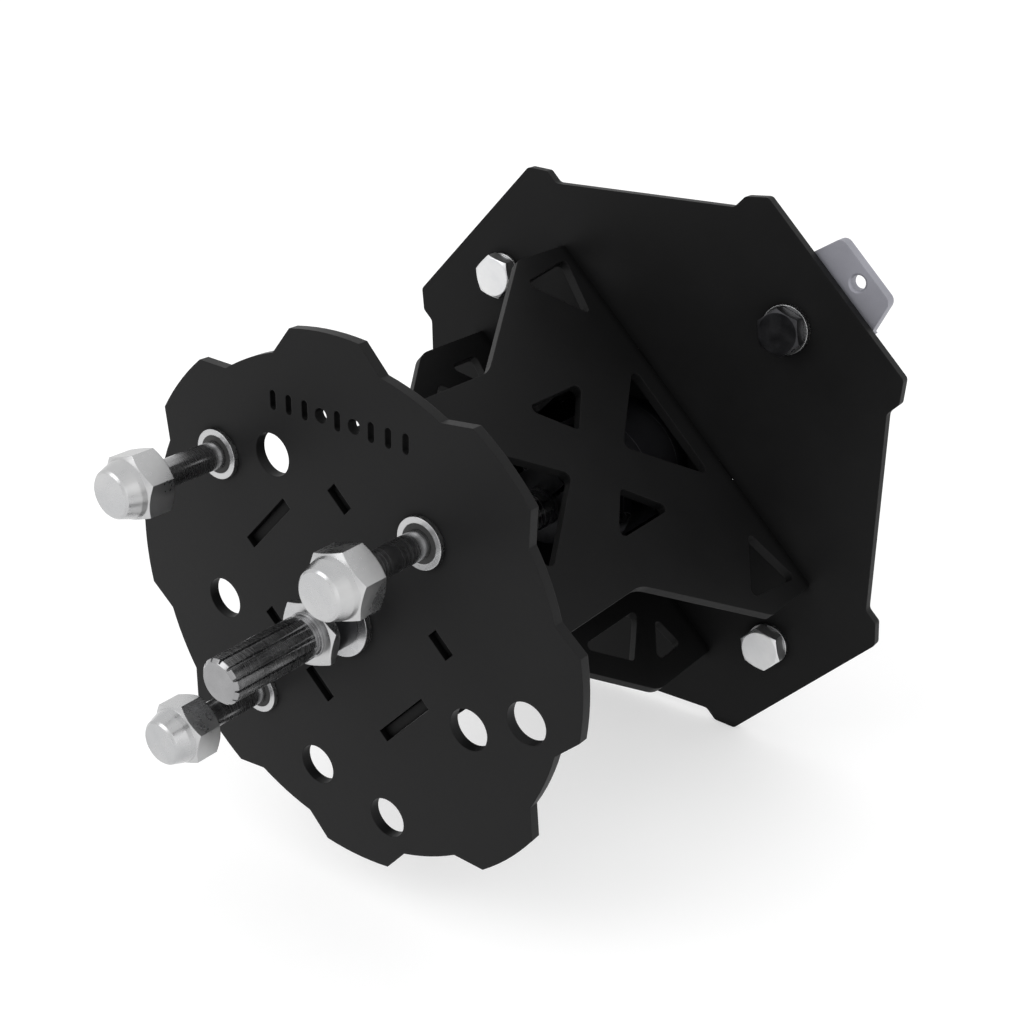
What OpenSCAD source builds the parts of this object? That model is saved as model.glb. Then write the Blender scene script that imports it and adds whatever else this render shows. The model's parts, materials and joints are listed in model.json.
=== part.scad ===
// Planetary gearbox in an open plate frame.
// A single-stage planetary gear set sits inside a box of truss side plates
// between an eight-sided mounting plate at the back and a lobed hub plate at
// the front. Its long output shaft runs forward through a flanged bush in the
// hub plate and ends in a fluted drive section.
// World frame: the output axis lies along Y with the driven end towards -Y,
// +Z is up. The box section stands on its corner, turned 45 degrees.
// Inside the modules everything is built along local +z (back to front) with
// local x and y square to the box, and place() turns it into the world frame.
// In names, _r is a radius, _t a thickness, _w a width, _len a length, _n a
// count, _at a list of [x, y] places and z_ a station along the axis.

/* [Hub plate] */
// Radius over the eight lobes
hub_r = 100; // [98:0.5:104]
// Radius of the recesses between the lobes
hub_recess_r = 92.4; // [90:0.1:94]
// Half angle of a lobe at its crest
lobe_half = 8.6; // [7:0.2:9]
// Half angle of a lobe at its root
lobe_root_half = 14.6; // [12:0.2:16]
// Thickness of the hub plate
hub_t = 4; // [3:0.5:5]
// Radius of the loose through holes
hole_r = 7.75; // [6:0.25:9]
// Number of slots and round holes in the decorative row
deco_n = 9; // [7:1:9]

/* [Frame] */
// Clear length of the side plates between the two end plates
frame_len = 183; // [180:1:190]
// Thickness of the side plates
side_t = 4; // [3:0.5:4]
// Middle of the right side plate from the axis
right_u = 32.7; // [31.5:0.1:33]
// Middle of the left side plate from the axis
left_u = 31; // [30.5:0.1:33]
// Middle of the top and bottom plates from the axis
cap_v = 41.5; // [40:0.5:44]
// Half width of the side plates along the box
side_half = 49.5; // [48:0.5:52]
// Half width of the side plates where they meet the mounting plate
side_flare_half = 89; // [86:0.5:91]
// Flare angle of the right side plate
right_flare = 35; // [33:0.5:38]
// Flare angle of the left side plate
left_flare = 38.5; // [36:0.5:40]

/* [Mounting plate] */
// Distance from the axis to the four straight edges
mount_r = 124; // [120:0.5:126]
// Half length of a straight edge, over its cut corners
mount_lug = 50; // [46:0.5:52]
// Distance from the axis along a lug side to the slanted edge
mount_neck = 110; // [106:0.5:113]
// Thickness of the mounting plate
mount_t = 4; // [3:0.5:5]
// Distance of the two frame bolts from the axis
bolt_r = 100; // [98:0.5:102]
// Distance of the two bracket bolts from the axis
bracket_bolt_r = 97.5; // [96:0.5:102]

/* [Rear bracket] */
// Thickness of the cross-shaped bracket
bracket_t = 12; // [11:0.5:14]
// Width of its short arm
bracket_w = 34; // [30:0.5:38]
// Half length of the long arm with the two ears
bracket_half = 135.5; // [134.5:0.5:137]
// Distance of the ear holes from the axis along the long arm
ear_r = 129.5; // [129:0.5:130]
// Thickness of the two ears
ear_t = 5; // [4:0.5:6]
// Radius of the ear holes
ear_hole_r = 3; // [2.5:0.25:3.25]
// Radius of the recess that centres a motor
pilot_r = 18; // [16.5:0.25:18.5]

/* [Gears] */
// Tooth size (module)
gear_m = 0.75; // [0.74:0.005:0.76]
// Teeth on the sun gear
sun_z = 18; // [18]
// Teeth on each planet gear
planet_z = 18; // [18]
// Width of the sun and planet gears
gear_w = 14; // [10:0.5:14.5]
// Thinning of each tooth flank, for backlash
backlash = 0.04; // [0.02:0.01:0.06]

/* [Output shaft] */
// Radius of the output shaft
shaft_r = 8; // [8]
// Length of the shaft in front of the hub plate
shaft_out = 56.5; // [56:0.5:60]
// Length of the fluted section
flute_len = 36; // [36]
// Number of flutes
flute_n = 12; // [8:1:14]
// Distance from the hub plate to the front of the shaft nut
nut_pos = 17; // [15:0.5:17]

/* [Studs] */
// Radius of the three studs
stud_r = 5; // [4.5:0.1:5.5]
// Length of the studs and their cap nuts in front of the hub plate
stud_out = 48; // [46:0.5:52]
// Length of the hexagon of a stud nut
stud_nut_len = 11; // [8:0.5:14]
// Length of the round cap in front of the hexagon
stud_cap_len = 7.2; // [5:0.2:9]
// Across-flats size of the stud nuts
stud_nut_af = 21.5; // [19:0.5:24]

/* [Hidden] */

// how far a cut runs past a face
cut = 1;
// clearance between pieces that are fixed to each other
gap = 0.02;
// radial clearance of a running fit
run = 0.03;

// stations along the axis; z = 0 is the back of the rear bracket
z_mount = bracket_t;
z_box = z_mount + mount_t;
z_hub = z_box + frame_len;
z_front = z_hub + hub_t;
z_ring = z_box + 8;
z_cover = z_ring + 22;
z_cover_end = z_cover + 18;
z_gear = z_ring + 3;
z_carrier = z_gear + 15;
z_end = z_front + shaft_out;
z_nut = z_front + nut_pos;

// radii shared by mating pieces
box_r = 27;
tie_r = 24.2;       // circle of the six gearbox screws
gear_bolts_r = 23;  // circle of the four gearbox bolts
spigot_r = 15;
hub_bush_r = 11;

black = [0.12, 0.12, 0.125];
zinc = [0.8, 0.8, 0.82];
steel = [0.55, 0.56, 0.58];
bronze = [0.72, 0.52, 0.28];
dark_steel = [0.2, 0.2, 0.21];
rubber = [0.08, 0.08, 0.08];

// ---------- shared solids ----------
module place() { rotate([90, 0, 0]) rotate([0, 0, 45]) children(); }
module cone(from, to, r_from, r_to, facets = 96) {
  translate([0, 0, from]) cylinder(h = to - from, r1 = r_from, r2 = r_to, $fn = facets);
}
module cyl(from, to, radius, facets = 96) {
  translate([0, 0, from]) cylinder(h = to - from, r = radius, $fn = facets);
}
// cutter for a through hole between two faces
module bore(from, to, radius, facets = 96) { cyl(from - cut, to + cut, radius, facets); }
module tube(from, to, outer, inner, facets = 96) {
  difference() {
    cyl(from, to, outer, facets);
    bore(from, to, inner, facets);
  }
}
// hexagon bar with both ends chamfered round
module hexnut(from, to, flats, hole, chamfer = 1) {
  length = to - from;
  end_r = flats / 2 - 0.3;
  wide_r = flats / 2 + 2 * chamfer;
  slope = 1.3 * chamfer;
  difference() {
    intersection() {
      cyl(from, to, flats / 2 / cos(30), 6);
      translate([0, 0, from]) rotate_extrude($fn = 96)
        polygon([[0, 0], [end_r, 0], [wide_r, slope],
                 [wide_r, length - slope], [end_r, length], [0, length]]);
    }
    if (hole > 0) bore(from, to, hole, 64);
  }
}
// head, shank and socket are each a [from, to] span
module socket_screw(head, head_r, shank, shank_r, socket, socket_r) {
  difference() {
    union() {
      cyl(head[0], head[1], head_r, 32);
      cyl(shank[0], shank[1], shank_r, 32);
    }
    cyl(socket[0], socket[1], socket_r, 6);
  }
}

// ---------- repeated places ----------
// four places on local x and y: bracket bolts on x, frame bolts on y
module at_plate_bolts() {
  for (i = [0:3]) rotate(90 * i)
    translate([i % 2 == 0 ? bracket_bolt_r : bolt_r, 0, 0]) children();
}
module at_gear_bolts() {
  for (i = [0:3]) rotate(45 + 90 * i) translate([gear_bolts_r, 0, 0]) children();
}
module at_ties() { for (i = [0:5]) rotate(60 * i) translate([tie_r, 0, 0]) children(); }
studs_at = [[-4.1, 71.7], [53.7, 0], [-62, 0.7]];
module at_studs() { for (p = studs_at) translate([p[0], p[1], 0]) children(); }

// ---------- rounded outlines ----------
function unit(v) = v / norm(v);
// points of the arc that replaces the corner at b, coming from a and going to c;
// the radius shrinks where an edge is too short for it
function corner(a, b, c, radius, steps) =
  let (to_a = unit(a - b), to_c = unit(c - b),
       half = acos(to_a * to_c) / 2,
       setback = min(radius / tan(half), norm(a - b) * 0.49, norm(c - b) * 0.49),
       fit_r = setback * tan(half),
       centre = b + unit(to_a + to_c) * (fit_r / sin(half)),
       start = b + to_a * setback - centre,
       end = b + to_c * setback - centre,
       start_angle = atan2(start[1], start[0]),
       end_angle = atan2(end[1], end[0]),
       sweep = ((end_angle - start_angle + 540) % 360) - 180)
  [for (i = [0:steps]) let (angle = start_angle + sweep * i / steps)
     centre + fit_r * [cos(angle), sin(angle)]];
// closed outline with every corner rounded; radii is one number or one per point
function rounded(points, radii, steps = 6) =
  let (count = len(points))
  [for (i = [0:count - 1])
     each corner(points[(i + count - 1) % count], points[i], points[(i + 1) % count],
                 is_list(radii) ? radii[i] : radii, steps)];

// ---------- tabs of the frame plates ----------
// each tab spans [near, far] across its plate; side plates have it on both
// sides of the middle
right_tab = [24.6, 34];
left_tab = [6, 19.4];
cap_tab = [-18, 9.3];
tab_clear = 0.3;
// start along the axis and length of the tabs in the hub and mounting plates
tab_spans = [[z_hub - 1, 1 + hub_t - 2.3], [z_mount + 0.4, mount_t + 1]];

function tab_width(tab) = tab[1] - tab[0];
function tab_start(tab, side) = side > 0 ? tab[0] : -tab[1];
module tab_slot(x, y, x_size, y_size, from, to) {
  translate([x - tab_clear, y - tab_clear, from - cut])
    cube([x_size + 2 * tab_clear, y_size + 2 * tab_clear, to - from + 2 * cut]);
}
// cutters for all tabs in a plate between two faces
module tab_slots(from, to) {
  for (side = [-1, 1]) {
    tab_slot(right_u - side_t / 2, tab_start(right_tab, side),
             side_t, tab_width(right_tab), from, to);
    tab_slot(-left_u - side_t / 2, tab_start(left_tab, side),
             side_t, tab_width(left_tab), from, to);
    tab_slot(cap_tab[0], side * cap_v - side_t / 2, tab_width(cap_tab), side_t, from, to);
  }
}

// ---------- hub plate ----------
// loose holes: distance from the axis, angle from local x
hub_holes = [[59.6, 72.5], [59.8, 145], [69, 210.5], [78.4, 236.8],
             [60.5, 289.7], [79.8, 304.2]];
deco_angle = 42;
deco_r = 71.4;
deco_pitch = 7.2;
deco_w = 2.6;  // width of a slot and radius of a round hole
deco_len = 7;

// cross-section of the gap between two lobes, pointing along local x
module gap_wedge() {
  root_angle = 22.5 - lobe_root_half;
  crest_angle = 22.5 - lobe_half;
  root = hub_recess_r * [cos(root_angle), sin(root_angle)];
  crest = hub_r * [cos(crest_angle), sin(crest_angle)];
  // the flank is drawn on past both its ends
  inner = root - 0.35 * (crest - root);
  outer = crest + 0.35 * (crest - root);
  far = hub_r + 20;
  polygon([inner, outer, [far, outer[1]], [far, -outer[1]],
           [outer[0], -outer[1]], [inner[0], -inner[1]]]);
}
// cutter for a slot with round ends, long way along local y
module slot(length, width, from, to) {
  straight = length - width;
  for (side = [-1, 1]) translate([0, side * straight / 2, 0]) bore(from, to, width / 2, 24);
  translate([-width / 2, -straight / 2, from - cut]) cube([width, straight, to - from + 2 * cut]);
}
// row of slots with a round hole on each side of the middle slot
module deco_row() {
  rotate(deco_angle) translate([deco_r, 0, 0]) for (i = [0:deco_n - 1]) {
    place_in_row = i - (deco_n - 1) / 2;
    translate([0, place_in_row * deco_pitch, 0])
      if (abs(place_in_row) == 1) bore(z_hub, z_front, deco_w, 32);
      else rotate(90) slot(deco_len, deco_w, z_hub, z_front);
  }
}
module hub_plate() {
  color(black) place() difference() {
    cyl(z_hub, z_front, hub_r, 180);
    for (i = [0:7]) rotate(22.5 + 45 * i) difference() {
      translate([0, 0, z_hub - cut]) linear_extrude(hub_t + 2 * cut) gap_wedge();
      cyl(z_hub - 2 * cut, z_front + 2 * cut, hub_recess_r, 180);
    }
    bore(z_hub, z_front, hub_bush_r + gap);
    at_studs() bore(z_hub, z_front, stud_r + gap, 48);
    for (hole = hub_holes) rotate(hole[1]) translate([hole[0], 0, 0])
      bore(z_hub, z_front, hole_r, 64);
    tab_slots(z_hub, z_front);
    deco_row();
  }
}

// ---------- side plates: outlines in (z, across) ----------
// a side plate runs straight, flares at an angle and runs straight again to
// the mounting plate, with a tab pair at each end
module side_outline(flare_z, angle, tab, flare_end_r) {
  half = [[z_hub, side_half],
          [flare_z, side_half],
          [flare_z - (side_flare_half - side_half) / tan(angle), side_flare_half],
          [z_box, side_flare_half]];
  polygon(rounded(concat(half, [for (i = [3:-1:0]) [half[i][0], -half[i][1]]]),
          [0.5, 14, flare_end_r, 0.5, 0.5, flare_end_r, 14, 0.5]));
  for (side = [-1, 1], span = tab_spans)
    translate([span[0], tab_start(tab, side)]) square([span[1], tab_width(tab)]);
}
// turns a (z, across) outline into a side plate with its middle at local x
module upright(x) {
  translate([x + side_t / 2, 0, 0]) rotate([0, -90, 0]) linear_extrude(side_t) children();
}
module window(points, radius) { polygon(rounded(points, radius)); }
// window with points [distance behind the hub plate's front face, across]
module side_window(points, radius = 2.2) {
  window([for (p = points) [z_front - p[0], p[1]]], radius);
}
module right_side_plate() {
  color(black) place() upright(right_u) difference() {
    side_outline(z_front - 98, right_flare, right_tab, 5);
    side_window([[103.3, 0], [61.5, 29], [61.5, -29]], 3);
    side_window([[139, 0], [176.5, -28.5], [176.5, 28.5]], 3);
    for (flip = [0, 1]) mirror([0, flip]) {
      side_window([[102.7, 31], [141.6, 31], [122.2, 13.8]]);
      side_window([[149.2, 78.6], [182.5, 83], [174, 55.8]]);
    }
  }
}
module left_side_plate() {
  color(black) place() upright(-left_u) difference() {
    side_outline(z_front - 94.5, left_flare, left_tab, 12);
    side_window([[103.8, 0], [61.9, 29.2], [61.9, -29.2]], 3);
    for (flip = [0, 1]) mirror([0, flip]) {
      side_window([[119, 55.2], [164, 55.2], [141.7, 73]]);
      side_window([[153.3, 79], [173.3, 79], [169.5, 62.6]]);
    }
  }
}
// top and bottom plates close the box between the side plates
module cap_plate() {
  x_left = -left_u + side_t / 2 + 0.1;
  x_right = right_u - side_t / 2 - 0.1;
  difference() {
    union() {
      translate([x_left, -side_t / 2, z_box]) cube([x_right - x_left, side_t, frame_len]);
      for (span = tab_spans) translate([cap_tab[0], -side_t / 2, span[0]])
        cube([tab_width(cap_tab), side_t, span[1]]);
    }
    // two pairs of triangles, each pair point to point
    for (z = [50, 132], side = [-1, 1])
      translate([(x_left + x_right) / 2, 0, z_box + z])
        rotate([90, 0, 0]) translate([0, 0, -side_t]) linear_extrude(2 * side_t)
          window([[0, side * 5], [18, side * 31], [-18, side * 31]], 3);
  }
}
module top_side_plate() { color(black) place() translate([0, cap_v, 0]) cap_plate(); }
module bottom_side_plate() { color(black) place() translate([0, -cap_v, 0]) cap_plate(); }

// ---------- mounting plate ----------
lug_side = 6.5;  // straight side of a lug
lug_cut = 6.5;   // cut corner, measured along the straight edge

module mount_outline() {
  lug = [[mount_neck, mount_lug], [mount_neck + lug_side, mount_lug],
         [mount_r, mount_lug - lug_cut], [mount_r, -mount_lug + lug_cut],
         [mount_neck + lug_side, -mount_lug], [mount_neck, -mount_lug]];
  points = [for (k = [0:3], p = lug) let (angle = -90 * k)
    [p[0] * cos(angle) - p[1] * sin(angle), p[0] * sin(angle) + p[1] * cos(angle)]];
  polygon(rounded(points, [for (k = [0:3]) each [3, 2, 2.5, 2.5, 2, 3]], 4));
}
module mount_plate() {
  color(black) place() difference() {
    translate([0, 0, z_mount]) linear_extrude(mount_t) mount_outline();
    bore(z_mount, z_box, spigot_r + 2 * gap);
    at_plate_bolts() bore(z_mount, z_box, 5.25, 48);
    at_gear_bolts() bore(z_mount, z_box, 2.2, 32);
    tab_slots(z_mount, z_box);
  }
}

// ---------- rear bracket ----------
z_spigot = 6;        // back end of the gearbox spigot
z_bolt_seat = 5;     // seat of the gearbox bolt heads
short_arm_half = 116;
ear_start = 119;     // where the arm steps down to the ear
z_ear = 10;          // front face of the ears
ear_hole_y = -3.2;
countersink = 0.8;
// one long side of the long arm: [x, y]; the other is it turned half a turn
long_arm_side = [[bracket_half, 13.9], [120, 17.7], [-120, 22], [-bracket_half, 16.8]];

module long_arm() {
  linear_extrude(bracket_t)
    polygon(rounded(concat(long_arm_side, [for (p = long_arm_side) -p]),
                    [3.5, 6, 6, 3.5, 3.5, 6, 6, 3.5]));
}
module short_arm() {
  x = bracket_w / 2;
  y = short_arm_half;
  linear_extrude(bracket_t) polygon(rounded([[x, -y], [x, y], [-x, y], [-x, -y]], 5));
}
// thins an arm end to an ear from both faces and drills it
module ear_cuts() {
  translate([ear_start, -40, -cut]) cube([40, 80, z_ear - ear_t + cut]);
  translate([ear_start, -40, z_ear]) cube([40, 80, bracket_t]);
  translate([ear_r, ear_hole_y, 0]) {
    cyl(2, bracket_t + cut, ear_hole_r, 48);
    cone(z_ear - countersink, z_ear + 0.01, ear_hole_r, ear_hole_r + countersink, 48);
  }
}
module rear_bracket() {
  color([0.72, 0.72, 0.76]) place() difference() {
    union() {
      long_arm();
      short_arm();
      cyl(0, bracket_t, 40, 128);
    }
    cyl(-cut, z_spigot, pilot_r);
    bore(z_spigot, bracket_t, spigot_r + 2 * gap);
    at_plate_bolts() cyl(2.5, bracket_t + cut, stud_r + 0.05, 48);
    // blind holes around the centre recess
    for (i = [0:3]) rotate(90 * i) translate([30, 0, 0]) cyl(-cut, 9, 2.5, 32);
    at_gear_bolts() {
      cyl(-cut, z_bolt_seat, 3.8, 32);
      bore(z_bolt_seat, bracket_t, 2.2, 32);
    }
    for (i = [0, 1]) rotate(180 * i) ear_cuts();
  }
}

// ---------- gear tooth shapes ----------
ring_z = sun_z + 2 * planet_z;
centre_d = gear_m * (sun_z + planet_z) / 2;
pressure_angle = 20;
tooth_short = 0.8 * gear_m;   // tooth tip from the pitch circle
tooth_deep = 1.05 * gear_m;   // tooth root from the pitch circle

function pitch_r(teeth) = teeth * gear_m / 2;
// involute function in degrees
function inv(angle) = tan(angle) * 180 / PI - angle;
// half angle of a tooth at a radius; thin narrows the flank (negative fattens it)
function tooth_half(teeth, radius, thin) =
  let (base_r = pitch_r(teeth) * cos(pressure_angle))
  90 / teeth - thin / pitch_r(teeth) * 180 / PI + inv(pressure_angle)
    - inv(acos(base_r / max(radius, base_r * 1.0001)));
// both flanks of every tooth between two radii, each flank in equal steps
function gear_points(teeth, r_from, r_to, thin, steps) =
  [for (k = [0:teeth - 1], side = [-1, 1], i = [0:steps])
     let (step = side < 0 ? i : steps - i,
          radius = r_from + (r_to - r_from) * step / steps,
          angle = 360 * k / teeth + side * tooth_half(teeth, radius, thin))
     radius * [cos(angle), sin(angle)]];
module gear_shape(teeth) {
  polygon(gear_points(teeth, pitch_r(teeth) - tooth_deep, pitch_r(teeth) + tooth_short,
                      backlash, 5));
}
module ring_hole_shape() {
  polygon(gear_points(ring_z, pitch_r(ring_z) - tooth_short, pitch_r(ring_z) + tooth_deep,
                      -backlash, 4));
}

// ---------- gearbox housing ----------
input_seat_r = 8;                // seat of the input bearing and seal
z_input_bearing = z_ring - 5;
z_input_seal_end = 11;
z_bearing = z_cover + 4;         // output bearing seat, back and front
z_bearing_end = z_cover + 13;
bearing_r = 16;
seal_r = 14;
tie_hole_r = 1.65;
z_tie_seat = z_cover_end - 4.2;  // seat of the gearbox screw heads

module gearbox_rear_cover() {
  color(black) place() difference() {
    union() {
      cyl(z_box, z_ring, box_r, 128);
      cyl(z_spigot, z_box + 1, spigot_r);
    }
    cyl(0, z_ring + cut, 5.5, 48);
    cyl(z_input_bearing, z_ring + cut, input_seat_r + gap, 64);
    cyl(z_spigot - cut, z_input_seal_end, input_seat_r + gap, 64);
    at_ties() cyl(z_box + 2, z_ring + cut, 1.55, 32);
    at_gear_bolts() cyl(z_box - cut, z_ring - 1.5, 2.05, 32);
  }
}
module ring_gear() {
  color(steel) place() difference() {
    cyl(z_ring, z_cover, box_r, 128);
    translate([0, 0, z_ring - cut]) linear_extrude(z_cover - z_ring + 2 * cut)
      rotate(90) ring_hole_shape();
    at_ties() bore(z_ring, z_cover, tie_hole_r, 32);
  }
}
module gearbox_front_cover() {
  z_chamfer = z_cover_end - 4;
  color(black) place() difference() {
    union() {
      cyl(z_cover, z_chamfer, box_r, 128);
      cone(z_chamfer, z_cover_end, box_r, box_r - 1.5, 128);
    }
    cyl(z_cover - cut, z_bearing, 20);
    cyl(z_bearing - cut, z_bearing_end, bearing_r + gap);
    bore(z_bearing_end - 0, z_cover_end, seal_r + gap);
    at_ties() {
      bore(z_cover, z_cover_end, tie_hole_r, 32);
      cyl(z_tie_seat, z_cover_end + cut, 3, 32);
    }
  }
}
module gearbox_screws() {
  color(dark_steel) place() at_ties()
    socket_screw(head = [z_tie_seat + gap, z_cover_end - 1.2], head_r = 2.75,
                 shank = [z_box + 2.5, z_cover_end - 4], shank_r = 1.5,
                 socket = [z_cover_end - 2.8, z_cover_end], socket_r = 1.4);
}
module gearbox_bolts() {
  color(dark_steel) place() at_gear_bolts()
    socket_screw(head = [1, z_bolt_seat - gap], head_r = 3.5,
                 shank = [4, z_ring - 2], shank_r = 2,
                 socket = [0, 3.2], socket_r = 1.75);
}

// ---------- input side ----------
z_input = -30;
input_r = 4;

module input_shaft() {
  color(steel) place() difference() {
    union() {
      cyl(z_input + 0.8, z_carrier + 7, input_r, 64);
      cone(z_input, z_input + 0.8, input_r - 0.8, input_r, 64);
      cyl(z_ring + 0.3, z_gear - 0.2, 5.2, 64);
    }
    // flat on the back end
    translate([-5, 3.5, z_input - cut]) cube([10, 3, 20 + cut]);
    // ring groove at the end of the flat
    tube(-10.6, -9.4, 6, 3.6, 64);
  }
}
module sun_gear() {
  color(steel) place() difference() {
    translate([0, 0, z_gear]) linear_extrude(gear_w) gear_shape(sun_z);
    bore(z_gear, z_gear + gear_w, input_r + gap, 64);
  }
}
module input_bearing_outer() {
  color(zinc) place() tube(z_input_bearing + gap, z_ring - gap, input_seat_r, 6.4, 64);
}
module input_bearing_inner() {
  color(zinc) place() tube(z_input_bearing + 0.1, z_ring - gap, 5.6, input_r + gap, 64);
}
module input_seal() {
  color(rubber) place()
    tube(z_spigot + 0.4, z_input_seal_end - gap, input_seat_r, input_r + run, 64);
}

// ---------- planets and carrier ----------
planet_angles = [90, 210, 330];
planet_bush_r = 3.5;
pin_r = 2.5;
pilot_bush_r = 5;
z_carrier_face = z_carrier + 6;

module at_planet(i) { rotate(planet_angles[i]) translate([centre_d, 0, 0]) children(); }
module planet_gear(i) {
  color(steel) place() at_planet(i) difference() {
    translate([0, 0, z_gear]) linear_extrude(gear_w) gear_shape(planet_z);
    bore(z_gear, z_gear + gear_w, planet_bush_r + gap, 64);
  }
}
module planet_gear_1() { planet_gear(0); }
module planet_gear_2() { planet_gear(1); }
module planet_gear_3() { planet_gear(2); }
module planet_bush(i) {
  color(bronze) place() at_planet(i)
    tube(z_gear, z_gear + gear_w, planet_bush_r, pin_r + run, 64);
}
module planet_bush_1() { planet_bush(0); }
module planet_bush_2() { planet_bush(1); }
module planet_bush_3() { planet_bush(2); }
module planet_pins() {
  z_pin = z_gear - 1.4;
  color(steel) place() for (i = [0:2]) at_planet(i) {
    cyl(z_pin, z_carrier_face, pin_r, 48);
    cyl(z_pin, z_gear - 0.2, 3.6, 48);
  }
}
module planet_carrier() {
  color(steel) place() difference() {
    union() {
      cyl(z_carrier, z_carrier_face, 18.5);
      cyl(z_carrier_face - 1, z_bearing - 0.1, 10, 64);
    }
    bore(z_carrier, z_bearing, shaft_r + gap);
    for (i = [0:2]) at_planet(i) bore(z_carrier, z_carrier_face, pin_r + gap, 48);
  }
}
module pilot_bush() {
  color(bronze) place()
    tube(z_carrier + 0.1, z_carrier + 7.9, pilot_bush_r, input_r + run, 64);
}

// ---------- output side ----------
shaft_chamfer = 1.2;
collar_r = 16;
collar_len = 16;
z_collar = z_front - 134;
bush_flange_t = 3;
shaft_nut_t = 4;

module output_shaft() {
  z_flute = z_end - flute_len;
  color(steel) place() difference() {
    union() {
      cyl(z_carrier, z_end - shaft_chamfer, shaft_r);
      cone(z_end - shaft_chamfer, z_end, shaft_r, shaft_r - shaft_chamfer);
    }
    cyl(z_carrier - cut, z_carrier + 8, pilot_bush_r + gap, 64);
    // relief groove behind the fluted end
    tube(z_flute - 2.5, z_flute, shaft_r + 2, shaft_r - 1.1);
    for (i = [0:flute_n - 1]) rotate(360 / flute_n * (i + 0.25))
      translate([shaft_r, 0, z_flute]) linear_extrude(flute_len + cut)
        polygon([[0.3, 0.6], [-0.95, 0.3], [-0.95, -0.3], [0.3, -0.6]]);
  }
}
module output_bearing_outer() {
  color(zinc) place() tube(z_bearing + gap, z_bearing_end - gap, bearing_r, 13);
}
module output_bearing_inner() {
  color(zinc) place() tube(z_bearing + gap, z_bearing_end - gap, 11, shaft_r + gap);
}
module output_seal() {
  color(rubber) place() tube(z_bearing_end + 0.2, z_cover_end - 0.3, seal_r, shaft_r + run);
}
// turns local z to -y on the axis of the collar screw
module at_collar_screw(y = 0) {
  translate([12, y, z_collar + collar_len / 2]) rotate([90, 0, 0]) children();
}
module shaft_collar() {
  color(dark_steel) place() difference() {
    cyl(z_collar, z_collar + collar_len, collar_r);
    bore(z_collar, z_collar + collar_len, shaft_r + gap);
    // clamping split
    translate([0, -1, z_collar - cut]) cube([20, 2, collar_len + 2 * cut]);
    at_collar_screw(8) cyl(-9, 20, 2.1, 32);
    at_collar_screw(20) cyl(0, 13, 3.7, 32);
  }
}
module collar_screw() {
  color(dark_steel) place() at_collar_screw()
    socket_screw(head = [-10.2, -7.02], head_r = 3.5, shank = [-7.1, 8], shank_r = 2,
                 socket = [-11, -8.4], socket_r = 1.75);
}
module hub_bush() {
  color(zinc) place() difference() {
    union() {
      cyl(z_hub - 5, z_front + 1, hub_bush_r);
      cyl(z_front + gap, z_front + bush_flange_t, 14);
    }
    cyl(z_hub - 6, z_front + 5, shaft_r + run);
  }
}
module shaft_spacer() {
  color([0.15, 0.15, 0.16]) place()
    tube(z_front + bush_flange_t + 0.1, z_nut - shaft_nut_t - gap, 10, shaft_r + gap, 64);
}
module shaft_nut() {
  color(zinc) place() rotate(30) hexnut(z_nut - shaft_nut_t, z_nut, 22.5, shaft_r + gap, 0.8);
}

// ---------- studs on the hub plate ----------
stud_in = 10;  // length behind the hub plate
z_stud = z_front + stud_out - 5;
z_cap = z_front + stud_out;
z_cap_hex = z_cap - stud_cap_len;  // front of the cap nut's hexagon
seal_ring_r = 6.88;
// profile of the round cap: [z, radius]
cap_profile = [[z_cap_hex - 1, 10.55], [z_cap_hex + 2, 9.9], [z_cap - 0.8, 8.4], [z_cap, 7.6]];

module hub_studs() {
  color(steel) place() at_studs() {
    cyl(z_hub - stud_in, z_stud - 1, stud_r, 64);
    cone(z_stud - 1, z_stud, stud_r, stud_r - 1, 64);
  }
}
module stud_washers() {
  color(zinc) place() at_studs() tube(z_front + gap, z_front + 2, 9.05, seal_ring_r + gap, 64);
}
// rubber inner ring of each sealing washer
module stud_seals() {
  color(rubber) place() at_studs()
    tube(z_front + gap, z_front + 2.1, seal_ring_r, stud_r + 0.05, 64);
}
// cap nut: a hexagon with a tapered flat-ended cap in front of it
module stud_nuts() {
  z_back = z_cap_hex - stud_nut_len;
  color(zinc) place() at_studs() difference() {
    union() {
      rotate(30) hexnut(z_back, z_cap_hex, stud_nut_af, 0, 1.2);
      for (i = [0:2])
        cone(cap_profile[i][0], cap_profile[i + 1][0], cap_profile[i][1], cap_profile[i + 1][1]);
    }
    bore(z_back, z_stud, stud_r + gap, 64);
  }
}
module stud_back_nuts() {
  color(zinc) place() at_studs() hexnut(z_hub - 8 - gap, z_hub - gap, 17, stud_r + gap);
}

// ---------- frame and bracket bolts ----------
frame_washer_t = 1.5;
bracket_washer_t = 3;

// bolt from inside the bracket to a hexagon head that starts at z_head
module hexbolt(z_head, head_len) {
  cyl(3, z_head + 1, 5, 48);
  hexnut(z_head, z_head + head_len, 17, 0);
}
module bolt_washer(thickness, radius) {
  tube(z_box + gap, z_box + thickness - gap, radius, 5.1, 64);
}
module at_frame_bolts() { for (side = [-1, 1]) translate([0, side * bolt_r, 0]) children(); }
module at_bracket_bolts() {
  for (side = [-1, 1]) translate([side * bracket_bolt_r, 0, 0]) children();
}
module frame_bolts() {
  color(zinc) place() at_frame_bolts() hexbolt(z_box + frame_washer_t, 7);
}
module frame_bolt_washers() {
  color(zinc) place() at_frame_bolts() bolt_washer(frame_washer_t, 9.2);
}
module bracket_bolts() {
  color([0.14, 0.14, 0.15]) place() at_bracket_bolts()
    rotate(-6) hexbolt(z_box + bracket_washer_t, 6);
}
module bracket_bolt_washers() {
  color(zinc) place() at_bracket_bolts() bolt_washer(bracket_washer_t, 10);
}

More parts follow.
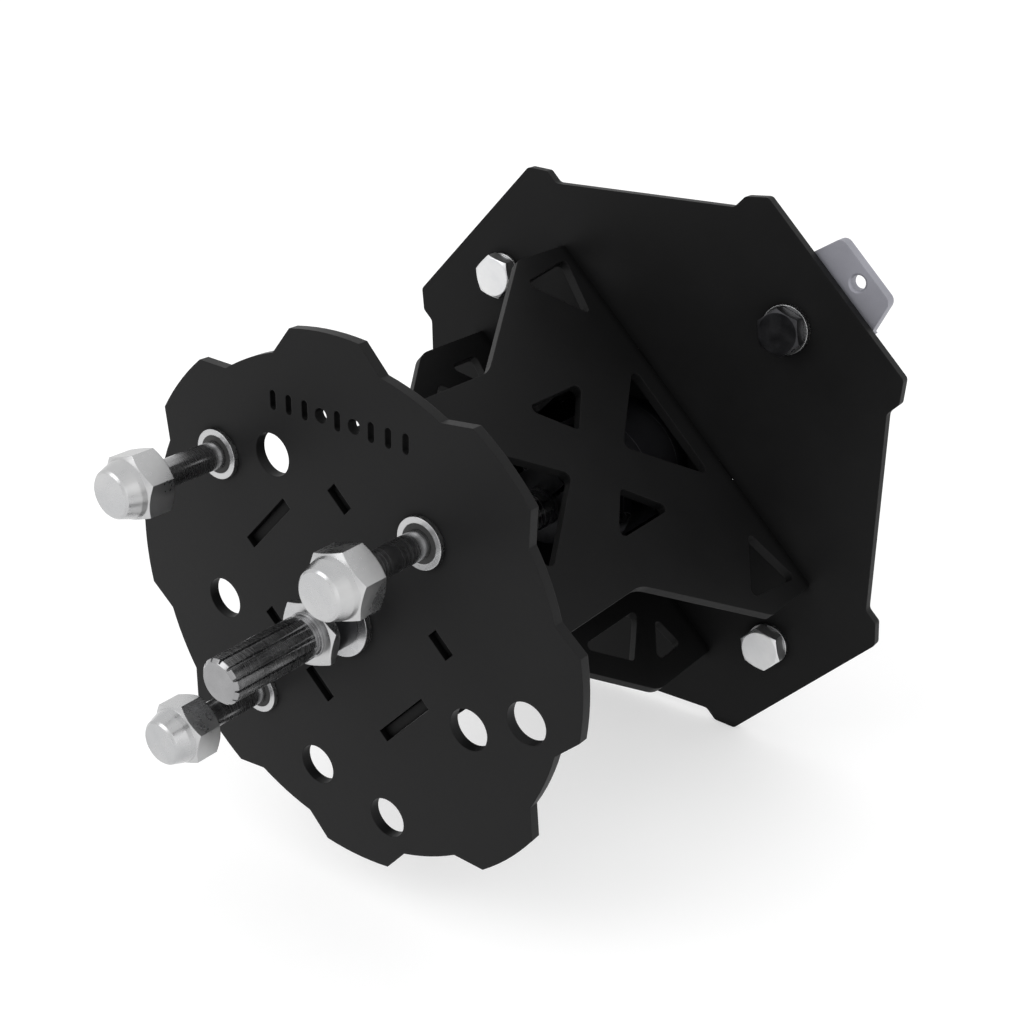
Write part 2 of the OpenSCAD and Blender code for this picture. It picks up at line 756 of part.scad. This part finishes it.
hub_plate();
right_side_plate();
left_side_plate();
top_side_plate();
bottom_side_plate();
mount_plate();
rear_bracket();
gearbox_rear_cover();
ring_gear();
gearbox_front_cover();
input_shaft();
sun_gear();
planet_gear_1();
planet_gear_2();
planet_gear_3();
planet_bush_1();
planet_bush_2();
planet_bush_3();
planet_pins();
planet_carrier();
pilot_bush();
output_shaft();
output_bearing_outer();
output_bearing_inner();
output_seal();
input_bearing_outer();
input_bearing_inner();
input_seal();
shaft_collar();
collar_screw();
hub_bush();
shaft_spacer();
shaft_nut();
hub_studs();
stud_washers();
stud_seals();
stud_nuts();
stud_back_nuts();
frame_bolts();
frame_bolt_washers();
bracket_bolts();
bracket_bolt_washers();
gearbox_screws();
gearbox_bolts();
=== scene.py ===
import json
import math
import bpy
import bmesh
from mathutils import Matrix, Vector


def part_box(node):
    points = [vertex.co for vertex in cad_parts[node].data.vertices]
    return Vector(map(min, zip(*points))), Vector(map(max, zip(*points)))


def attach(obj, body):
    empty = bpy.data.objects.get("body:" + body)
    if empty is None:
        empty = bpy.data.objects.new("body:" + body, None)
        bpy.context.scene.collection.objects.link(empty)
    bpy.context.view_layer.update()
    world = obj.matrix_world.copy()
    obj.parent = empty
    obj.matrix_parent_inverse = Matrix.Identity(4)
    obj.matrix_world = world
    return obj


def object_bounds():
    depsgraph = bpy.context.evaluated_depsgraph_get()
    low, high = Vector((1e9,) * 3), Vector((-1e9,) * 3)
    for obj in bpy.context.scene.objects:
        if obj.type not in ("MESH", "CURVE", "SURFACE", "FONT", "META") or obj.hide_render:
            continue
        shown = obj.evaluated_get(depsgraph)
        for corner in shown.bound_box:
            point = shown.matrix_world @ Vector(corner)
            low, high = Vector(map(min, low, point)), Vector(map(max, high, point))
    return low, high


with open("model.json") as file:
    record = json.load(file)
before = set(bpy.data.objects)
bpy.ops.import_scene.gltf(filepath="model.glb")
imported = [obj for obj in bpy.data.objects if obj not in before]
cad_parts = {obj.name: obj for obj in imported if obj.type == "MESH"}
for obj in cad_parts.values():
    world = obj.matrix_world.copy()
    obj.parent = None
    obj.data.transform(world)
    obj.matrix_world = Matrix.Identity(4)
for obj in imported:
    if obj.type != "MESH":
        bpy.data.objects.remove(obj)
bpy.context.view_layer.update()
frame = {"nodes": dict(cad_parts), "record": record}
NODES = frame["nodes"]
SLOT_OF = {part["node"]: part["material_slot"] for part in frame["record"]["subparts"]}


# ---------------------------------------------------------------- material builder
def feed(socket, value):
    """Link a node output to a socket, or set a plain value; colours gain an alpha of 1."""
    if isinstance(value, bpy.types.NodeSocket):
        socket.id_data.links.new(value, socket)
    elif socket.type == "RGBA":
        socket.default_value = (*value, 1)
    else:
        socket.default_value = value


class Material:
    """A Principled material with short wrappers round the nodes used here."""

    def __init__(self, name):
        self.data = bpy.data.materials.new(name)
        self.data.use_nodes = True
        self.tree = self.data.node_tree
        self.tree.nodes.clear()
        output = self.node("OutputMaterial")
        self.bsdf = self.node("BsdfPrincipled")
        feed(output.inputs[0], self.bsdf.outputs[0])
        self.object_coords = self.node("TexCoord").outputs["Object"]
        self.coords = self.stretched((1, 1, 1))

    def node(self, kind, inputs=None, **props):
        """New node; inputs maps socket names or indices to values or outputs."""
        node = self.tree.nodes.new("ShaderNode" + kind)
        for key, value in props.items():
            setattr(node, key, value)
        for key, value in (inputs or {}).items():
            feed(node.inputs[key], value)
        return node

    def surface(self, inputs):
        """Feed the Principled shader and return the finished material."""
        for key, value in inputs.items():
            feed(self.bsdf.inputs[key], value)
        return self.data

    def stretched(self, scale):
        return self.node("Mapping", {"Scale": scale, "Vector": self.object_coords}).outputs[0]

    def noise(self, scale, detail, roughness=0.5, distortion=0.0, coords=None):
        return self.node("TexNoise", {
            "Scale": scale, "Detail": detail, "Roughness": roughness,
            "Distortion": distortion, "Vector": coords or self.coords,
        }).outputs["Fac"]

    def voronoi(self, scale):
        node = self.node("TexVoronoi", {"Scale": scale, "Vector": self.coords})
        return node.outputs["Distance"]

    def two_tone(self, factor, first, last, span=(0.3, 0.7)):
        """Colour ramp from first to last as the factor crosses span."""
        node = self.node("ValToRGB", {0: factor})
        for stop, position, colour in zip(node.color_ramp.elements, span, (first, last)):
            stop.position = position
            stop.color = (*colour, 1)
        return node.outputs["Color"]

    def remap(self, value, to, span=(0.3, 0.7)):
        """Map span onto to, linearly and clamped."""
        return self.node("MapRange", {
            "From Min": span[0], "From Max": span[1],
            "To Min": to[0], "To Max": to[1], "Value": value,
        }).outputs[0]

    def math(self, operation, a, b):
        return self.node("Math", {0: a, 1: b}, operation=operation).outputs[0]

    def add(self, a, b):
        return self.math("ADD", a, b)

    def multiply(self, a, b):
        return self.math("MULTIPLY", a, b)

    def mix(self, factor, a, b):
        return self.node("Mix", {0: factor, 6: a, 7: b}, data_type="RGBA").outputs[2]

    def bump(self, height, strength, distance, normal=None):
        inputs = {"Strength": strength, "Distance": distance, "Height": height}
        if normal is not None:
            inputs["Normal"] = normal
        return self.node("Bump", inputs).outputs[0]

    def bevel(self, radius):
        return self.node("Bevel", {"Radius": radius}, samples=4).outputs[0]

    def worn_highlit_edges(self, colour, worn_highlit, radius, amount=0.5):
        """Lighten the sharp edges towards the given colour, partly rubbed wear and partly painted
        highlight; returns the colour and rounded normal.

        An edge is where the rounded normal leans away from the true one."""
        rounded = self.bevel(radius)
        true_normal = self.node("NewGeometry").outputs["True Normal"]
        dot = self.node("VectorMath", {0: rounded, 1: true_normal}, operation="DOT_PRODUCT")
        lean = self.math("SUBTRACT", 1.0, dot.outputs["Value"])
        edge = self.remap(lean, span=(0.03, 0.4), to=(0.0, 1.0))
        return self.mix(self.multiply(edge, amount), colour, worn_highlit), rounded


def grey(value, tint=(1, 1, 1)):
    return tuple(value * channel for channel in tint)


# ---------------------------------------------------------------- materials
def powder_black(name, base, rough):
    """Satin powder coat: orange peel, faint blotches, dust specks, edges lightened partly as
    rubbed wear and partly as painted highlight, painted shade in corners.
    """
    m = Material(name)
    blotch = m.noise(scale=14, detail=4, roughness=0.6)
    grain = m.noise(scale=1100, detail=2)
    dust = m.noise(scale=160, detail=5, roughness=0.7)
    peel = m.noise(scale=520, detail=2)
    colour = m.two_tone(blotch, grey(base * 0.85, (1, 1, 1.02)), grey(base * 1.2, (1, 1, 1.03)))
    speck = m.remap(dust, span=(0.64, 0.8), to=(0.0, 0.22))
    colour = m.mix(speck, colour, grey(base * 2.0))
    # Edges lighten towards a brighter grey: partly rubbed wear, partly painted highlight where
    # the edges catch the light.
    colour, rounded = m.worn_highlit_edges(colour, worn_highlit=grey(base * 3.2), radius=0.0005)
    # Painted shade: corners and recesses, such as the tab slots, darken towards near black and
    # lose most of their reflection.
    occlusion = m.node("AmbientOcclusion", {"Distance": 0.006}, samples=8)
    painted_shade_openness = m.remap(occlusion.outputs["AO"], span=(0.35, 0.9), to=(0.25, 1.0))
    height = m.add(peel, m.multiply(grain, 0.35))
    return m.surface({
        "Base Color": m.mix(painted_shade_openness, grey(base * 0.15), colour),
        "Roughness": m.add(m.remap(blotch, to=(rough - 0.05, rough + 0.07)),
                           m.remap(grain, to=(-0.03, 0.03))),
        "Normal": m.bump(height, strength=0.22, distance=0.00008, normal=rounded),
        "Specular IOR Level": m.multiply(painted_shade_openness, 0.10),
    })


def anodised_black(name):
    """Black anodising over fine turning lines."""
    m = Material(name)
    rings = m.noise(scale=1, detail=2, coords=m.stretched((60, 2600, 60)))
    blotch = m.noise(scale=40, detail=3)
    colour = m.two_tone(blotch, (0.022, 0.022, 0.026), (0.034, 0.034, 0.038))
    colour, rounded = m.worn_highlit_edges(colour, worn_highlit=(0.22, 0.22, 0.23), radius=0.0004)
    return m.surface({
        "Base Color": colour,
        "Metallic": 0.85,
        "Roughness": m.remap(rings, to=(0.28, 0.42)),
        "Normal": m.bump(rings, strength=0.15, distance=0.00005, normal=rounded),
    })


def turned(name, base, rough, across=60, groove=0.06):
    """Turned or ground steel: fine lines round the Y axis.

    across is the noise scale along X and Z, groove the bump strength."""
    m = Material(name)
    tint = (1, 1, 1.015)
    lines = m.noise(scale=1, detail=3, roughness=0.55,
                    coords=m.stretched((across, 2400, across)))
    smear = m.noise(scale=90, detail=4, roughness=0.6)
    colour = m.two_tone(smear, grey(base * 0.8, tint), grey(base * 1.1, tint),
                        span=(0.25, 0.75))
    colour, rounded = m.worn_highlit_edges(colour, worn_highlit=grey(base * 1.2, tint), radius=0.0003)
    return m.surface({
        "Base Color": colour,
        "Metallic": 1.0,
        "Roughness": m.add(m.remap(lines, to=(rough - 0.06, rough + 0.08)),
                           m.remap(smear, span=(0.4, 0.8), to=(0.0, 0.06))),
        "Normal": m.bump(lines, strength=groove, distance=0.00003, normal=rounded),
    })


def zinc(name, base, rough):
    """Zinc plate: cloudy, with a slight flake in the gloss."""
    m = Material(name)
    cloud = m.noise(scale=60, detail=5, roughness=0.6, distortion=0.4)
    fine = m.noise(scale=1400, detail=2)
    flake = m.voronoi(scale=700)
    colour = m.two_tone(cloud, grey(base * 0.86, (0.99, 1.0, 1.02)), grey(base * 1.06),
                        span=(0.3, 0.72))
    colour, rounded = m.worn_highlit_edges(colour, worn_highlit=grey(base * 1.15), radius=0.0004)
    height = m.add(fine, m.multiply(cloud, 0.5))
    return m.surface({
        "Base Color": colour,
        "Metallic": 1.0,
        "Roughness": m.add(m.remap(cloud, to=(rough - 0.05, rough + 0.09)),
                           m.remap(flake, span=(0.0, 0.6), to=(-0.02, 0.03))),
        "Normal": m.bump(height, strength=0.045, distance=0.00006, normal=rounded),
    })


def blasted_aluminium(name):
    """Dull grit-blasted aluminium."""
    m = Material(name)
    grit = m.noise(scale=1600, detail=3, roughness=0.6)
    cloud = m.noise(scale=30, detail=4, roughness=0.6)
    colour = m.two_tone(cloud, (0.26, 0.26, 0.29), (0.32, 0.32, 0.36))
    colour, rounded = m.worn_highlit_edges(colour, worn_highlit=(0.5, 0.5, 0.54), radius=0.0005, amount=0.4)
    return m.surface({
        "Base Color": colour,
        "Metallic": 0.55,
        "Roughness": m.remap(grit, to=(0.48, 0.62)),
        "Normal": m.bump(grit, strength=0.22, distance=0.00006, normal=rounded),
    })


def bronze(name):
    """Sintered bronze with dark pores."""
    m = Material(name)
    pores = m.voronoi(scale=2600)
    cloud = m.noise(scale=120, detail=4, roughness=0.6)
    colour = m.two_tone(cloud, (0.42, 0.26, 0.10), (0.60, 0.40, 0.18))
    pore_mask = m.remap(pores, span=(0.0, 0.25), to=(0.5, 0.0))
    rounded = m.bevel(radius=0.0002)
    return m.surface({
        "Base Color": m.mix(pore_mask, colour, (0.16, 0.09, 0.04)),
        "Metallic": 0.9,
        "Roughness": m.remap(cloud, to=(0.32, 0.48)),
        "Normal": m.bump(pores, strength=0.15, distance=0.00004, normal=rounded),
    })


def rubber(name):
    """Matt black seal rubber."""
    m = Material(name)
    fine = m.noise(scale=1800, detail=3, roughness=0.6)
    cloud = m.noise(scale=80, detail=4, roughness=0.6)
    return m.surface({
        "Base Color": m.two_tone(cloud, grey(0.012), grey(0.03)),
        "Roughness": m.remap(fine, to=(0.6, 0.8)),
        "Normal": m.bump(fine, strength=0.2, distance=0.00005),
    })


def black_oxide(name):
    """Blackened steel with brighter edges."""
    m = Material(name)
    cloud = m.noise(scale=160, detail=4, roughness=0.6)
    fine = m.noise(scale=1500, detail=2)
    colour = m.two_tone(cloud, (0.018, 0.018, 0.02), (0.04, 0.04, 0.043))
    colour, rounded = m.worn_highlit_edges(colour, worn_highlit=(0.14, 0.14, 0.145), radius=0.0003)
    return m.surface({
        "Base Color": colour,
        "Metallic": 0.8,
        "Roughness": m.remap(cloud, to=(0.3, 0.45)),
        "Normal": m.bump(fine, strength=0.15, distance=0.00005, normal=rounded),
    })


MATERIALS = {
    "black_plate": powder_black("powder_black", base=0.0078, rough=0.42),
    "black_housing": anodised_black("anodised_black"),
    "bracket_aluminium": blasted_aluminium("blasted_aluminium"),
    "gear_steel": turned("gear_steel", base=0.42, rough=0.28),
    "shaft_steel": turned("shaft_steel", base=0.33, rough=0.22, across=40, groove=0.025),
    "bearing_steel": turned("bearing_steel", base=0.58, rough=0.22),
    "zinc_plate": zinc("zinc_plate", base=0.50, rough=0.24),
    "bronze": bronze("sintered_bronze"),
    "seal_rubber": rubber("seal_rubber"),
    "black_oxide": black_oxide("black_oxide"),
}

# Nodes that depart from their slot's material: the sheets that shade each other take a darker
# copy of the powder coat, painted shade for the shade they lie in, and the frame bolts a brighter
# zinc.
SHADED = ("right_side_plate", "left_side_plate", "top_side_plate", "bottom_side_plate",
          "mount_plate")
# Painted shade: a darker, rougher copy of the powder coat stands in for the shade on these
# sheets.
OWN_MATERIAL = dict.fromkeys(SHADED, powder_black("powder_black_painted_shade", base=0.0070, rough=0.48))
OWN_MATERIAL["frame_bolts"] = zinc("zinc_plate_bolts", base=0.72, rough=0.34)

for name, obj in NODES.items():
    material = MATERIALS[SLOT_OF[name]]
    obj.data.materials.clear()
    obj.data.materials.append(OWN_MATERIAL.get(name, material))


# ---------------------------------------------------------------- mesh helpers
HALF_ROOT = math.sqrt(0.5)


def at(u, v, z):
    """Local millimetres to world metres."""
    return Vector(((u - v) * HALF_ROOT, -z, (u + v) * HALF_ROOT)) / 1000.0


def polar(radius, angle, z):
    """Point round the shaft axis."""
    return at(radius * math.cos(angle), radius * math.sin(angle), z)


def z_span(name):
    """Least and greatest local z of a CAD piece."""
    low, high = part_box(name)
    return -high.y * 1000.0, -low.y * 1000.0


def mesh_object(name, bm):
    mesh = bpy.data.meshes.new(name)
    bm.to_mesh(mesh)
    bm.free()
    obj = bpy.data.objects.new(name, mesh)
    bpy.context.scene.collection.objects.link(obj)
    return obj


def piece(name, bm, slot, body):
    """Smooth-shaded piece that moves with a body."""
    bm.normal_update()
    obj = mesh_object(name, bm)
    for face in obj.data.polygons:
        face.use_smooth = True
    obj.data.materials.append(MATERIALS[slot])
    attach(obj, body)


def ring(bm, steps, section):
    """Closed ring round the shaft axis; section(angle) lists its (radius, z) points."""
    rows = []
    for i in range(steps):
        angle = 2 * math.pi * i / steps
        rows.append([bm.verts.new(polar(r, angle, z)) for r, z in section(angle)])
    count = len(rows[0])
    for i in range(steps):
        p, q = rows[i], rows[(i + 1) % steps]
        for k in range(count):
            bm.faces.new((p[k], p[(k + 1) % count], q[(k + 1) % count], q[k]))


# ---------------------------------------------------------------- bearings
def balls(name, count, pitch_radius, ball_radius, z, body):
    bm = bmesh.new()
    for i in range(count):
        place = Matrix.Translation(polar(pitch_radius, 2 * math.pi * i / count, z))
        bmesh.ops.create_icosphere(bm, subdivisions=3, radius=ball_radius / 1000.0,
                                   matrix=place)
    piece(name, bm, "bearing_steel", body)


def cage(name, count, pitch_radius, ball_radius, half_width, z, body):
    """Ribbon on the +z side of the balls that swells out at each one."""
    half_band = ball_radius * 0.22
    thickness = 0.25
    inner, outer = pitch_radius - half_band, pitch_radius + half_band

    def section(angle):
        swell = abs(math.cos(count * angle / 2)) ** 0.6
        near = z + half_width * (0.35 + 0.65 * swell)
        far = near + thickness
        return (inner, near), (outer, near), (outer, far), (inner, far)

    bm = bmesh.new()
    ring(bm, count * 16, section)
    piece(name, bm, "bronze", body)


def shields(name, faces, inset, outer, inner, depths, steps):
    """Two rings, each set in from a bearing face.

    depths: further in to the inner rim's near edge, its far edge, the outer rim's far edge."""
    bm = bmesh.new()
    for z, inward in ((faces[0] + inset, 1), (faces[1] - inset, -1)):
        rim_near, rim_far, back = (z + depth * inward for depth in depths)
        profile = [(outer, z), (inner, rim_near), (inner, rim_far), (outer, back)][::inward]
        ring(bm, steps, lambda angle: profile)
    piece(name, bm, "seal_rubber", "frame")


output_faces = z_span("output_bearing_outer")
input_faces = z_span("input_bearing_outer")
output_row = dict(count=22, pitch_radius=12.0, ball_radius=0.93,
                  z=sum(output_faces) / 2, body="output")

balls("output_bearing_balls", **output_row)
cage("output_bearing_cage", half_width=1.0, **output_row)
shields("output_bearing_shields", output_faces, inset=0.5, outer=12.97, inner=11.15,
        depths=(0.12, 0.45, 0.55), steps=96)
balls("input_bearing_balls", count=30, pitch_radius=6.0, ball_radius=0.36,
      z=sum(input_faces) / 2, body="input")
shields("input_bearing_shields", input_faces, inset=0.4, outer=6.37, inner=5.66,
        depths=(0.06, 0.26, 0.3), steps=64)

# ---------------------------------------------------------------- welds
U_AXIS = at(1000, 0, 0)
Z_AXIS = at(0, 0, 1000)
SHEET = 2.0
WELD_WALLS = (32.7 - SHEET, -31.0 - SHEET)    # u of the -u faces of the two side plates
WELD_LEG = 2.2
WELD_SINK = 0.12      # how far the bead's root is let into both walls
WELD_STATION = 0.35   # spacing of the bead's cross-sections
WELD_RIPPLE = 1.5     # length of one ripple
# v ranges of the beads: corners below WIDE_BELOW in z take the wide set
WIDE_BELOW = 100
WIDE_SPANS = ((-82, -58), (-36, -14), (14, 36), (58, 82))
NARROW_SPANS = ((-34, -14), (14, 34))


def weld(bm, start, end, wall, plate, phase):
    """Rippled fillet bead in the corner whose two surfaces face wall and plate."""
    steps = max(12, int((end - start).length * 1000.0 / WELD_STATION))
    stride = (end - start) / steps
    rows = []
    for i in range(steps + 1):
        t = i / steps
        taper = min(1.0, math.sqrt(max(0.0, 1 - (2 * t - 1) ** 8)) + 0.02)
        turn = i * WELD_STATION * 2 * math.pi / WELD_RIPPLE + phase
        leg = WELD_LEG * taper * (1 + 0.07 * math.sin(turn)) / 1000.0
        root = start + stride * i - (wall + plate) * (WELD_SINK / 1000.0)
        points = [root]
        for k in range(7):
            angle = math.radians(90 * k / 6)
            bulge = 0.74 + 0.26 * abs(math.cos(2 * angle))
            outward = wall * math.cos(angle) + plate * math.sin(angle)
            points.append(root + outward * leg * bulge)
        rows.append([bm.verts.new(point) for point in points])
    count = len(rows[0])
    for p, q in zip(rows, rows[1:]):
        for k in range(count):
            bm.faces.new((p[k], q[k], q[(k + 1) % count], p[(k + 1) % count]))
    bm.faces.new(rows[0][::-1])
    bm.faces.new(rows[-1])


def frame_welds():
    corners = ((z_span("mount_plate")[1], Z_AXIS), (z_span("hub_plate")[0], -Z_AXIS))
    beads = [(u, z, facing, span)
             for u in WELD_WALLS
             for z, facing in corners
             for span in (WIDE_SPANS if z < WIDE_BELOW else NARROW_SPANS)]
    bm = bmesh.new()
    for index, (u, z, facing, (v0, v1)) in enumerate(beads):
        weld(bm, at(u, v0, z), at(u, v1, z), wall=-U_AXIS, plate=facing, phase=index)
    bmesh.ops.recalc_face_normals(bm, faces=bm.faces)
    piece("frame_welds", bm, "black_plate", "frame")


frame_welds()


# ---------------------------------------------------------------- floor
def floor_paper():
    """Pale, faintly glowing paper."""
    m = Material("floor_paper")
    cloud = m.noise(scale=3, detail=4, roughness=0.6)
    return m.surface({
        "Base Color": m.two_tone(cloud, grey(0.58), grey(0.60)),
        "Emission Color": m.two_tone(cloud, grey(0.98), grey(1.0)),
        "Emission Strength": 0.48,
        "Specular IOR Level": 0.1,
        "Roughness": 0.85,
    })


FLOOR_GAP = 0.0005    # between the floor and the lowest point
low_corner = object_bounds()[0]
bm = bmesh.new()
bmesh.ops.create_grid(bm, x_segments=8, y_segments=8, size=6.0)
floor = mesh_object("floor", bm)
floor.location = (0, 0, low_corner.z - FLOOR_GAP)
floor.data.materials.append(floor_paper())

# ---------------------------------------------------------------- light
scene = bpy.context.scene
world = bpy.data.worlds.new("studio")
scene.world = world
world.use_nodes = True
background = world.node_tree.nodes["Background"]
background.inputs["Color"].default_value = (1, 1, 1, 1)
background.inputs["Strength"].default_value = 1.0

LIGHT_TARGET = Vector((0.0, -0.13, 0.0))


def square_light(name, location, side, power):
    """Square area light aimed at LIGHT_TARGET."""
    data = bpy.data.lights.new(name, "AREA")
    data.shape = "RECTANGLE"
    data.size = data.size_y = side
    data.energy = power
    obj = bpy.data.objects.new(name, data)
    scene.collection.objects.link(obj)
    obj.location = location
    obj.rotation_mode = "QUATERNION"
    obj.rotation_quaternion = (LIGHT_TARGET - Vector(location)).to_track_quat("-Z", "Y")


square_light("key", location=(-0.5, -1.3, 1.1), side=1.0, power=6)
square_light("fill", location=(1.3, -0.9, 0.5), side=1.2, power=3)

# ---------------------------------------------------------------- camera
CAMERA_PLACE = (0.3112, -0.5184, 0.2273)
# rotation matrix; its columns are the camera's right, up and backward directions
CAMERA_TURN = (
    (0.809278, -0.244226, 0.534249),
    (0.587419, 0.340714, -0.734066),
    (-0.002748, 0.907892, 0.419196),
)
lens = bpy.data.cameras.new("photo_camera")
lens.sensor_width = 36.0
lens.lens = 50.57
lens.shift_x = -0.0215
lens.shift_y = 0.0361
lens.clip_start = 0.01
lens.clip_end = 50.0
camera = bpy.data.objects.new("photo_camera", lens)
scene.collection.objects.link(camera)
camera.matrix_world = Matrix.Translation(CAMERA_PLACE) @ Matrix(CAMERA_TURN).to_4x4()
scene.camera = camera
scene.view_settings.view_transform = "Standard"
